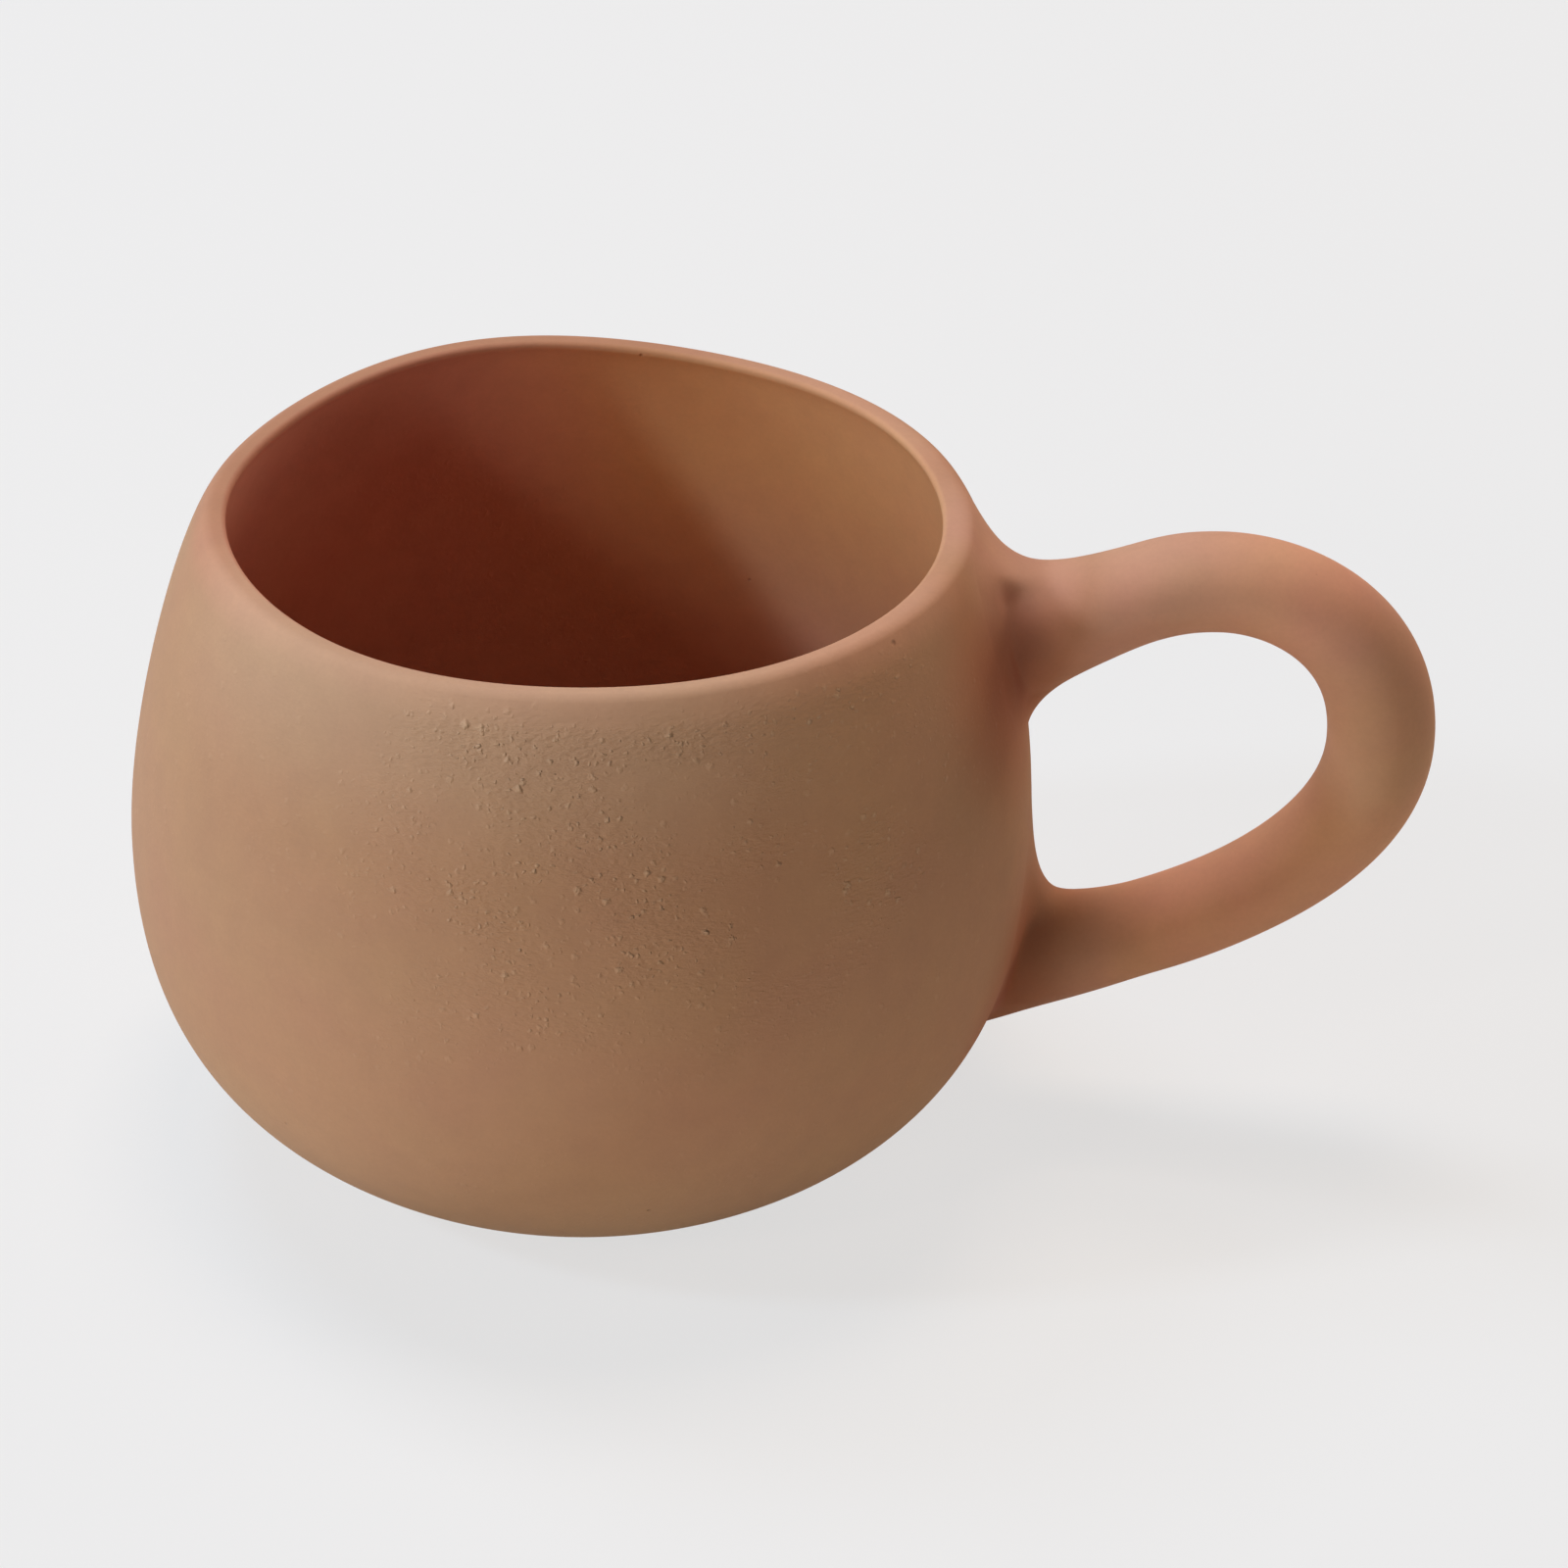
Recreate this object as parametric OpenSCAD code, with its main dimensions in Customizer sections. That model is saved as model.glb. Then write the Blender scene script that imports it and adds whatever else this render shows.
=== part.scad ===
// A round-bellied earthenware mug with one ear-shaped handle, hand finished and unglazed.
// The body is thrown in one piece. The handle is a pulled bar of clay, bent to a loop and thicker at its
// two roots, which are set on the wall in wet slip. A collar of soft clay is worked round each root and
// smoothed away over the wall and along the handle.
// The mug stands on the origin, its axis is Z, and the handle points along +X. Sizes are in millimetres.

/* [Body] */
// Diameter of the belly at its widest
belly_d = 96; // [90:0.5:104]
// Height of the widest part above the table
belly_z = 34.4; // [31:0.1:38]
// Height of the mug, from the foot to the top of the lip
body_h = 72.2; // [68:0.1:80]
// Diameter of the mouth, across the middle of the lip
mouth_d = 75.7; // [71:0.1:82]
// Diameter of the flat foot
foot_d = 56.6; // [50:0.1:62]
// Slope of the wall where it leaves the foot, from the level
foot_slope = 32; // [25:1:45]
// Lean of the wall towards the axis just under the lip, from the upright
lip_lean = 34.5; // [26:0.5:40]

/* [Walls] */
// Thickness of the wall at the belly
wall_t = 3.8; // [3:0.1:5]
// Thickness of the lip, which is rounded over
lip_t = 2.2; // [2:0.1:3.4]
// Thickness of the floor
floor_t = 4.6; // [3.6:0.1:6]
// Diameter of the level middle of the floor
floor_d = 40; // [30:1:48]
// Radius of the softened edge of the foot
foot_round = 0.8; // [0.4:0.1:1.4]

/* [Handle] */
// Drop from the lip to where the middle of the handle leaves the wall at the top
upper_root_drop = 13.4; // [12:0.1:18]
// Climb of the handle where it leaves the wall at the top, from the level
upper_root_climb = 20; // [10:1:28]
// Drop from the lip to the middle of the handle at the top of the loop
crest_drop = 6.7; // [5:0.1:10]
// Distance of the top of the loop from the belly
crest_out = 18.4; // [15:0.1:21]
// Distance of the middle of the handle from the belly where it reaches out furthest
reach_out = 36.4; // [32:0.1:42]
// Drop from the lip to the middle of the handle where it reaches out furthest
reach_drop = 25.2; // [23:0.1:29]
// Height at which the middle of the handle meets the wall at the bottom
lower_root_z = 19.4; // [16:0.1:24]
// Climb of the handle where it leaves the wall at the bottom, from the level
lower_root_climb = -3; // [-8:1:10]
// Thickness of the upper arm, in the plane of the loop
upper_arm_t = 10.4; // [9:0.1:12]
// Thickness of the handle at the outer bend
bend_t = 11.4; // [10:0.1:13]
// Thickness of the lower arm
lower_arm_t = 9.9; // [9:0.1:12]
// Width of the arms and the bend, across the plane of the loop
handle_w = 10.9; // [9.5:0.1:13]
// Thickness of the handle at each root, in the plane of the loop
root_t = 12.6; // [10.5:0.1:14]
// Width of the handle at each root
root_w = 12.4; // [10.5:0.1:14]
// Length over which the handle thickens to its roots
root_run = 15.5; // [11:0.5:18]

/* [Joints] */
// Thickness of the slip between each root and the wall
slip_t = 0.4; // [0.3:0.1:0.8]
// Length of each clay collar along the handle
collar_run = 10; // [6:0.5:12]
// Spread of the upper collar up the wall, towards the lip
upper_spread_out = 14; // [8:0.5:16]
// Spread of the upper collar to each side
upper_spread_side = 5; // [3.5:0.5:10]
// Spread of the upper collar down the wall, towards the finger gap
upper_spread_in = 4.5; // [3:0.5:8]
// Spread of the lower collar down the wall, towards the foot
lower_spread_out = 6.5; // [3:0.5:9]
// Spread of the lower collar to each side
lower_spread_side = 5; // [3.5:0.5:10]
// Spread of the lower collar up the wall, towards the finger gap
lower_spread_in = 15; // [8:0.5:17]
// Thickness to which each collar is rubbed out at its edge
collar_edge_t = 0.15; // [0.1:0.05:0.3]

/* [Hidden] */

// Reach of each curve's end tangents, as shares of the height or length that the curve spans
foot_pull_share = 0.39;
belly_low_pull_share = 0.58;
belly_high_pull_share = 0.32;
lip_pull_share = 0.15;
floor_pull_share = 0.66;
belly_in_pull_share = 0.6;
upper_root_pull_share = 0.62;
crest_in_pull_share = 0.28;
crest_out_pull_share = 0.43;
bend_high_pull_share = 0.7;
bend_low_pull_share = 0.68;
lower_root_pull_share = 0.2;

// Radius of the lip's two rubbed corners, as a share of its thickness
lip_corner_share = 0.35;

// Share of the lower arm's curve over which it thins from the bend
thinning_share = 0.5;

// Powers that shape each collar: how fast it leaves the handle, how thinly it runs out over the wall,
// and how its points are spaced
collar_leave_power = 1.6;
collar_thin_power = 2.6;
collar_space_power = 0.7;

// How finely the curves are drawn
wall_steps = 22;
lip_steps = 8;
foot_steps = 4;
turn_fn = 180;
table_steps = 24;
handle_sides = 32;
span_rings = 50;
collar_rings = 6;
fillet_steps = 8;

// How far a piece runs past the surface that trims it
overrun = 7;

belly_r = belly_d / 2;
foot_r = foot_d / 2;

function smooth(t) = t * t * (3 - 2 * t);
function mix(a, b, t) = a + (b - a) * t;
function unit(v) = v / norm(v);
function tail(list) = [for (i = [1:len(list) - 1]) list[i]];
function reversed(list) = [for (i = [len(list) - 1:-1:0]) list[i]];

// A point on a cubic curve, and its direction there
function curve(p, t) =
    pow(1 - t, 3) * p[0] + 3 * pow(1 - t, 2) * t * p[1] + 3 * (1 - t) * t * t * p[2] + pow(t, 3) * p[3];
function curve_direction(p, t) =
    unit(pow(1 - t, 2) * (p[1] - p[0]) + 2 * (1 - t) * t * (p[2] - p[1]) + t * t * (p[3] - p[2]));

// The outer wall is two curves that meet upright at the belly: foot to belly, then belly to lip
lean_across = [cos(lip_lean), sin(lip_lean)];
lean_along = [-sin(lip_lean), cos(lip_lean)];
slope_along = [cos(foot_slope), sin(foot_slope)];
low_h = belly_z;
high_h = body_h - belly_z;

// The lip's top is level between two rubbed corners, whose centres lie off the lines of the wall
lip_r = lip_corner_share * lip_t;
lip_level_w = lip_t / cos(lip_lean);
lip_centre_out = [mouth_d / 2 + lip_level_w / 2 - lip_r * tan(45 - lip_lean / 2), body_h - lip_r];
lip_centre_in = [mouth_d / 2 - lip_level_w / 2 + lip_r * tan(45 + lip_lean / 2), body_h - lip_r];
foot_start = [foot_r, 0] + foot_round * slope_along;
lip_out = lip_centre_out + lip_r * lean_across;
lip_in = lip_centre_in - lip_r * lean_across;
outer_low = [
    foot_start,
    foot_start + foot_pull_share * low_h * slope_along,
    [belly_r, belly_z - belly_low_pull_share * low_h],
    [belly_r, belly_z]
];
outer_high = [
    [belly_r, belly_z],
    [belly_r, belly_z + belly_high_pull_share * high_h],
    lip_out - lip_pull_share * high_h * lean_along,
    lip_out
];

// The inner wall follows it at the wall's thickness, and runs out level into the floor
inner_r = belly_r - wall_t;
floor_r = floor_d / 2;
floor_rise = belly_z - floor_t;
inner_high = [
    lip_in,
    lip_in - lip_pull_share * high_h * lean_along,
    [inner_r, belly_z + belly_high_pull_share * high_h],
    [inner_r, belly_z]
];
inner_low = [
    [inner_r, belly_z],
    [inner_r, belly_z - belly_in_pull_share * floor_rise],
    [mix(floor_r, inner_r, floor_pull_share), floor_t],
    [floor_r, floor_t]
];

// The foot's edge rolls from the level foot up to the slope of the wall
foot_edge = [
    [foot_r - foot_round, 0],
    [foot_r, 0],
    [foot_r, 0],
    foot_start
];

// Points along one of the profile's curves, or round a corner of the lip, all set out by a thickness
function profile_points(p, steps, out) = [
    for (i = [0:steps])
        let (d = curve_direction(p, i / steps))
        curve(p, i / steps) + out * [d.y, -d.x]
];
function corner_points(centre, from, to, out) = [
    for (i = [0:lip_steps])
        let (a = mix(from, to, i / lip_steps))
        centre + (lip_r + out) * [cos(a), sin(a)]
];
function outer_points(out) = concat(
    profile_points(foot_edge, foot_steps, out),
    tail(profile_points(outer_low, wall_steps, out)),
    tail(profile_points(outer_high, wall_steps, out))
);

// Radius of the outer surface at a height, read from the same points that the body is turned from
wall_table = [for (p = tail(outer_points(0))) [p.y, p.x]];
function wall_r(z) = lookup(z, wall_table);

// The point at a distance out from the wall's surface, at an angle round the axis and a height
function off_wall(angle, z, out) =
    let (r = wall_r(z) + out)
    [r * cos(angle), r * sin(angle), z];

// The handle's middle line is three curves in the XZ plane: root to crest, crest to bend, bend to root
upper_root_z = body_h - upper_root_drop;
upper_root = [wall_r(upper_root_z), upper_root_z];
crest = [belly_r + crest_out, body_h - crest_drop];
bend = [belly_r + reach_out, body_h - reach_drop];
lower_root = [wall_r(lower_root_z), lower_root_z];
upper_root_along = [cos(upper_root_climb), sin(upper_root_climb)];
lower_root_along = [cos(lower_root_climb), sin(lower_root_climb)];
rise_run = crest.x - upper_root.x;
fall_run = bend.x - crest.x;
fall_h = crest.y - bend.y;
return_run = bend.x - lower_root.x;
return_h = bend.y - lower_root.y;
handle_curves = [
    [
        upper_root,
        upper_root + upper_root_pull_share * rise_run * upper_root_along,
        crest - crest_in_pull_share * rise_run * [1, 0],
        crest
    ],
    [
        crest,
        crest + crest_out_pull_share * fall_run * [1, 0],
        bend + bend_high_pull_share * fall_h * [0, 1],
        bend
    ],
    [
        bend,
        bend - bend_low_pull_share * return_h * [0, 1],
        lower_root + lower_root_pull_share * return_run * lower_root_along,
        lower_root
    ]
];
function curve_number(u) = min(floor(u), len(handle_curves) - 1);
function line_at(u) = curve(handle_curves[curve_number(u)], u - curve_number(u));
function direction_at(u) = curve_direction(handle_curves[curve_number(u)], u - curve_number(u));

// Length along the middle line up to each of a row of places, and the place that a length leads to
line_us = [for (i = [0:len(handle_curves) * table_steps]) i / table_steps];
function lengths_from(i, sum) =
    i == len(line_us) - 1
    ? [sum]
    : concat([sum], lengths_from(i + 1, sum + norm(line_at(line_us[i + 1]) - line_at(line_us[i]))));
line_lengths = lengths_from(0, 0);
line_l = line_lengths[len(line_lengths) - 1];
place_table = [for (i = [0:len(line_us) - 1]) [line_lengths[i], line_us[i]]];

// Thickness of the handle at a place on its middle line, leaving out the roots
function arm_t(u) =
    u < 1 ? upper_arm_t
    : u < 2 ? mix(upper_arm_t, bend_t, smooth(u - 1))
    : mix(bend_t, lower_arm_t, smooth(min((u - 2) / thinning_share, 1)));

// One ring of the handle's surface at a length along it, straight on past either root
function ring(s) =
    let (
        u = lookup(s, place_table),
        past = s - max(0, min(s, line_l)),
        d = direction_at(u),
        c = line_at(u) + past * d,
        from_root = max(0, min(s, line_l - s)),
        slimness = smooth(min(from_root / root_run, 1)),
        half_t = mix(root_t, arm_t(u), slimness) / 2,
        half_w = mix(root_w, handle_w, slimness) / 2
    )
    [
        for (k = [0:handle_sides - 1])
            let (a = 360 * k / handle_sides, n = half_t * cos(a))
            [c.x - d.y * n, half_w * sin(a), c.y + d.x * n]
    ];

// The rings of each root run from inside the wall to the end of its collar
root_lengths = concat([-overrun], [for (i = [0:collar_rings]) collar_run * i / collar_rings]);
span_l = line_l - 2 * collar_run;
upper_root_rings = [for (s = root_lengths) ring(s)];
lower_root_rings = [for (s = root_lengths) ring(line_l - s)];
span_part = [for (i = [1:span_rings - 1]) ring(collar_run + span_l * i / span_rings)];

// Triangles of a skin over rows of points, each row closed on itself, and the rows too if need be
function skin(rows, sides, closed) = [
    for (i = [0:rows - (closed ? 1 : 2)], k = [0:sides - 1])
        let (
            next_row = (i + 1) % rows * sides,
            next_k = (k + 1) % sides,
            a = i * sides + k,
            b = i * sides + next_k,
            c = next_row + k,
            d = next_row + next_k
        )
        each [[a, b, c], [b, d, c]]
];
function flat(rows) = [for (row = rows, p = row) p];

// A bar of clay drawn through rings, from the first to the last, with a flat end on each
module bar(rings) {
    last = (len(rings) - 1) * handle_sides;
    ends = [for (k = [0:handle_sides - 1]) k];
    polyhedron(
        points = flat(rings),
        faces = concat(
            skin(len(rings), handle_sides, false),
            [reversed(ends)],
            [[for (k = ends) last + k]]
        )
    );
}

// The solid that the outer wall bounds, set out by a thickness, which trims whatever sits on the wall
module wall_solid(out) {
    rotate_extrude($fn = turn_fn)
        polygon(concat(
            [[0, -out]],
            outer_points(out),
            tail(corner_points(lip_centre_out, lip_lean, 90, out)),
            [[0, body_h + out]]
        ));
}

// The point at a share of the way along a list of points, counted in steps
function along(points, share) =
    let (
        at = share * (len(points) - 1),
        i = min(floor(at), len(points) - 2)
    )
    mix(points[i], points[i + 1], at - i);

// Number of points that stand clear of the wall, in a list that runs from outside to inside
function clear_count(points) =
    len([for (p = points) if (norm([p.x, p.y]) > wall_r(p.z)) p]);

// One slice of a collar: a hollow curve from the handle's surface out over the wall, down its thin
// edge, then back under the wall and along the handle's own points. The curve adds the step along the
// handle to the step over the wall, so it stays outside both, and it keeps between the foot and the lip.
// side is 1 where the outside of the loop is up. spreads holds the collar's reach over the wall on the
// outside of the loop, to each side, and towards the finger gap.
function collar_slice(points, angle, side, spreads) =
    let (
        n = clear_count(points),
        outer = points[n - 1],
        inner = points[n],
        gap_out = norm([outer.x, outer.y]) - wall_r(outer.z),
        gap_in = norm([inner.x, inner.y]) - wall_r(inner.z),
        root = mix(outer, inner, gap_out / (gap_out - gap_in)),
        run = concat([for (i = [0:n - 1]) points[i]], [root]),
        root_angle = atan2(root.y, root.x),
        spread_up_or_down = cos(angle) > 0 ? spreads[0] : spreads[2],
        spread = mix(spreads[1], spread_up_or_down, pow(cos(angle), 2)),
        past_edge = 1 + 2 * collar_edge_t / spread,
        turn = spread * sin(angle) / wall_r(root.z) * 180 / PI,
        way = side * cos(angle),
        room = (way > 0 ? lip_out.y - root.z : root.z - foot_start.y) / past_edge,
        climb = sign(way) * min(spread * abs(way), room),
        wall_start = off_wall(root_angle, root.z, 0)
    )
    concat(
        [
            for (i = [0:fillet_steps])
                let (
                    t = pow(i / fillet_steps, collar_space_power),
                    down = along(run, 1 - pow(1 - t, collar_leave_power)),
                    reach = pow(t, collar_thin_power),
                    over = off_wall(root_angle + turn * reach, root.z + climb * reach, collar_edge_t * t)
                )
                down + over - wall_start
        ],
        [
            off_wall(root_angle + turn * past_edge, root.z + climb * past_edge, -collar_edge_t),
            off_wall(root_angle + turn, root.z + climb, -overrun / 2)
        ],
        reversed(tail(points))
    );

// A collar round one root, from the root's rings, which run from the deep end to the end of the collar
module collar(root_rings, side, spreads) {
    outward = reversed(root_rings);
    slices = [
        for (k = [0:handle_sides - 1])
            let (points = [for (r = outward) r[k]])
            collar_slice(points, 360 * k / handle_sides, side, spreads)
    ];
    faces = skin(handle_sides, len(slices[0]), true);
    difference() {
        polyhedron(points = flat(slices), faces = side > 0 ? faces : [for (f = faces) reversed(f)]);
        wall_solid(0);
    }
}

// The film of slip under one root: the part of the bar that lies between the wall and the handle
module slip(root_rings) {
    intersection() {
        difference() {
            bar(root_rings);
            wall_solid(0);
        }
        wall_solid(slip_t);
    }
}

module body() {
    color("peru")
        rotate_extrude($fn = turn_fn)
            polygon(concat(
                [[0, 0]],
                outer_points(0),
                tail(corner_points(lip_centre_out, lip_lean, 90, 0)),
                corner_points(lip_centre_in, 90, 180 + lip_lean, 0),
                tail(profile_points(inner_high, wall_steps, 0)),
                tail(profile_points(inner_low, wall_steps, 0)),
                [[0, floor_t]]
            ));
}

module handle() {
    color("peru")
        difference() {
            bar(concat(upper_root_rings, span_part, reversed(lower_root_rings)));
            wall_solid(slip_t);
        }
}

module upper_slip() {
    color("sienna") slip(upper_root_rings);
}

module lower_slip() {
    color("sienna") slip(reversed(lower_root_rings));
}

module upper_collar() {
    color("chocolate")
        collar(upper_root_rings, 1, [upper_spread_out, upper_spread_side, upper_spread_in]);
}

module lower_collar() {
    color("chocolate")
        collar(lower_root_rings, -1, [lower_spread_out, lower_spread_side, lower_spread_in]);
}

body();
handle();
upper_slip();
lower_slip();
upper_collar();
lower_collar();
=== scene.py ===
import math
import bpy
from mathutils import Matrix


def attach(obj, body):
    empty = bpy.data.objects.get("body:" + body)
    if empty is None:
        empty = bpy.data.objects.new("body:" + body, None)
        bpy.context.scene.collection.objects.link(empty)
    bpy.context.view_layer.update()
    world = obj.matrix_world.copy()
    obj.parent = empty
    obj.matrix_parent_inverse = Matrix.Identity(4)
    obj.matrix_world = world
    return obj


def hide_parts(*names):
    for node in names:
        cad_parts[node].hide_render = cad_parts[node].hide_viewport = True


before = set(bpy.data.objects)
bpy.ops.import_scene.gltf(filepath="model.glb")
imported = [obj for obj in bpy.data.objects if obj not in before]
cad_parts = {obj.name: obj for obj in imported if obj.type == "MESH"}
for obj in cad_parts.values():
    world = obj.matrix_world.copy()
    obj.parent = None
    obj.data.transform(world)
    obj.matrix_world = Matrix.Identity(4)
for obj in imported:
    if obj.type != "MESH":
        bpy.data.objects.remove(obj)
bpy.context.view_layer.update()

from types import SimpleNamespace

import bpy
import numpy as np
from mathutils import Matrix, Vector

MM = 0.001

# Sizes of the mug in millimetres, the same as in the part's source but for a softer lip
BELLY_R = 48.0
BELLY_Z = 34.4
BODY_H = 72.2
MOUTH_R = 37.85
FOOT_R = 28.3
FOOT_SLOPE = math.radians(32)
LIP_LEAN = math.radians(34.5)
WALL_T = 3.8
LIP_T = 2.2
LIP_OUTER_R = 1.5
LIP_INNER_R = 0.6
FLOOR_T = 4.6
FLOOR_R = 20.0
FOOT_ROUND = 0.8

# How far each end of a wall curve keeps its own direction, as a share of the curve's height
FOOT_PULL = 0.39
BELLY_PULL_DOWN = 0.58
BELLY_PULL_UP = 0.32
LIP_PULL = 0.15
INNER_PULL_DOWN = 0.6
# Where the inner curve turns to the floor, from the floor's edge out to the wall
FLOOR_TURN_SHARE = 0.66

UPPER_ROOT_Z = 58.8
UPPER_ROOT_CLIMB = math.radians(20)
CREST = np.array([66.4, 65.5])
BEND = np.array([84.4, 47.0])
LOWER_ROOT_Z = 19.4
LOWER_ROOT_CLIMB = math.radians(-3)
UPPER_ARM_T = 10.4
BEND_T = 11.4
LOWER_ARM_T = 9.9
HANDLE_W = 10.9
ROOT_T = 12.6
ROOT_W = 12.4
ROOT_RUN = 15.5
THINNING_SHARE = 0.5

# How far each end of a handle curve keeps its own direction, as a share of its run or height
UPPER_ROOT_PULL = 0.62
CREST_PULL_IN = 0.28
CREST_PULL_OUT = 0.43
BEND_PULL_UP = 0.7
BEND_PULL_DOWN = 0.68
LOWER_ROOT_PULL = 0.2

# The collars: how far they run along the handle, how far out on the wall (towards the top, to the
# sides and towards the foot), and the powers by which they leave the handle, spread and are spaced
COLLAR_RUN = 10.0
UPPER_SPREADS = (14.0, 5.0, 4.5)
LOWER_SPREADS = (6.5, 5.0, 15.0)
COLLAR_LEAVE_POWER = 1.6
COLLAR_THIN_POWER = 2.6
COLLAR_SPACE_POWER = 0.7
# They stop short of the lip and the foot, and settle on the wall over a last share of the way
COLLAR_EDGE_ROOM = 1.05
TOE_EASE = 0.07

# The fold in each side of a collar: its place and width on the way out, its depth as a share, how
# far round it starts and grows, and the place and width of the painted shade in it
FOLD_AT = 0.6
FOLD_WIDTH = 0.27
FOLD_SHARE = 0.5
FOLD_SIDE_START = 0.25
FOLD_SIDE_GROWTH = 0.5
SHADED_AT = 0.74
SHADED_WIDTH = 0.17

# How finely the shapes are drawn
TURN_STEPS = 256
CURVE_STEPS = 44
LIP_STEPS = 14
FLAT_STEPS = 14
FOOT_EDGE_STEPS = 6
HANDLE_SIDES = 72
HANDLE_RINGS = 200
COLLAR_SLICES = 96
COLLAR_STEPS = 26
TABLE_STEPS = 400
SHARP_ANGLE = math.radians(40)


def smooth(t):
    t = np.clip(t, 0.0, 1.0)
    return t * t * (3 - 2 * t)


def mix(a, b, t):
    return a + (b - a) * t


def curve(p, t):
    """Points on a cubic curve at each t."""
    t = np.asarray(t, float)[..., None]
    start, end = (1 - t) ** 3 * p[0], t**3 * p[3]
    return start + 3 * (1 - t) ** 2 * t * p[1] + 3 * (1 - t) * t * t * p[2] + end


def curve_direction(p, t):
    """Directions along a cubic curve at each t."""
    t = np.asarray(t, float)[..., None]
    first, middle, last = p[1] - p[0], p[2] - p[1], p[3] - p[2]
    d = (1 - t) ** 2 * first + 2 * (1 - t) * t * middle + t * t * last
    return d / np.linalg.norm(d, axis=-1, keepdims=True)


# The wall: outer curves from the foot to the lip, and inner curves from the lip to the floor
LOW_H = BELLY_Z
HIGH_H = BODY_H - BELLY_Z
LIP_LEVEL = LIP_T / math.cos(LIP_LEAN) / 2
LIP_TURN = math.pi / 4 - LIP_LEAN / 2
LIP_CENTRE_OUT = np.array([
    MOUTH_R + LIP_LEVEL - LIP_OUTER_R * math.tan(LIP_TURN),
    BODY_H - LIP_OUTER_R,
])
LIP_CENTRE_IN = np.array([
    MOUTH_R - LIP_LEVEL + LIP_INNER_R / math.tan(LIP_TURN),
    BODY_H - LIP_INNER_R,
])
LEAN_ACROSS = np.array([math.cos(LIP_LEAN), math.sin(LIP_LEAN)])
LEAN_ALONG = np.array([-math.sin(LIP_LEAN), math.cos(LIP_LEAN)])
SLOPE_ALONG = np.array([math.cos(FOOT_SLOPE), math.sin(FOOT_SLOPE)])
FOOT_START = np.array([FOOT_R, 0.0]) + FOOT_ROUND * SLOPE_ALONG
LIP_OUT = LIP_CENTRE_OUT + LIP_OUTER_R * LEAN_ACROSS
LIP_IN = LIP_CENTRE_IN - LIP_INNER_R * LEAN_ACROSS
INNER_R = BELLY_R - WALL_T
OUTER_LOW = np.array([
    FOOT_START,
    FOOT_START + FOOT_PULL * LOW_H * SLOPE_ALONG,
    [BELLY_R, BELLY_Z - BELLY_PULL_DOWN * LOW_H],
    [BELLY_R, BELLY_Z],
])
OUTER_HIGH = np.array([
    [BELLY_R, BELLY_Z],
    [BELLY_R, BELLY_Z + BELLY_PULL_UP * HIGH_H],
    LIP_OUT - LIP_PULL * HIGH_H * LEAN_ALONG,
    LIP_OUT,
])
INNER_HIGH = np.array([
    LIP_IN,
    LIP_IN - LIP_PULL * HIGH_H * LEAN_ALONG,
    [INNER_R, BELLY_Z + BELLY_PULL_UP * HIGH_H],
    [INNER_R, BELLY_Z],
])
INNER_LOW = np.array([
    [INNER_R, BELLY_Z],
    [INNER_R, BELLY_Z - INNER_PULL_DOWN * (BELLY_Z - FLOOR_T)],
    [mix(FLOOR_R, INNER_R, FLOOR_TURN_SHARE), FLOOR_T],
    [FLOOR_R, FLOOR_T],
])
FOOT_EDGE = np.array([
    [FOOT_R - FOOT_ROUND, 0.0],
    [FOOT_R, 0.0],
    [FOOT_R, 0.0],
    FOOT_START,
])


def arc(centre, radius, start, end):
    """Points round a corner of the lip, from one angle to another."""
    turn = np.linspace(start, end, LIP_STEPS + 1)
    return centre + radius * np.stack([np.cos(turn), np.sin(turn)], 1)


def profile():
    """The outline of the wall, from the middle of the foot round to the middle of the floor."""
    steps = np.linspace(0, 1, CURVE_STEPS + 1)
    foot = np.linspace(0, FOOT_R - FOOT_ROUND, FLAT_STEPS + 1)
    floor = np.linspace(FLOOR_R, 0, FLAT_STEPS + 1)
    return np.concatenate([
        np.stack([foot, 0 * foot], 1),
        curve(FOOT_EDGE, np.linspace(0, 1, FOOT_EDGE_STEPS + 1))[1:],
        curve(OUTER_LOW, steps)[1:],
        curve(OUTER_HIGH, steps)[1:],
        arc(LIP_CENTRE_OUT, LIP_OUTER_R, LIP_LEAN, math.pi / 2)[1:],
        arc(LIP_CENTRE_IN, LIP_INNER_R, math.pi / 2, math.pi + LIP_LEAN),
        curve(INNER_HIGH, steps)[1:],
        curve(INNER_LOW, steps)[1:],
        np.stack([floor, 0 * floor + FLOOR_T], 1)[1:],
    ])


_fine = np.linspace(0, 1, TABLE_STEPS + 1)
_wall = np.concatenate([
    curve(FOOT_EDGE, _fine),
    curve(OUTER_LOW, _fine)[1:],
    curve(OUTER_HIGH, _fine)[1:],
])


def wall_r(z):
    """Radius of the outer surface at a height."""
    return np.interp(z, _wall[:, 1], _wall[:, 0])


def off_wall(angle, z, out):
    """Points at a distance outside the wall, level from the axis."""
    r = wall_r(z) + out
    return np.stack([r * np.cos(angle), r * np.sin(angle), z + 0 * r], -1)


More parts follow.
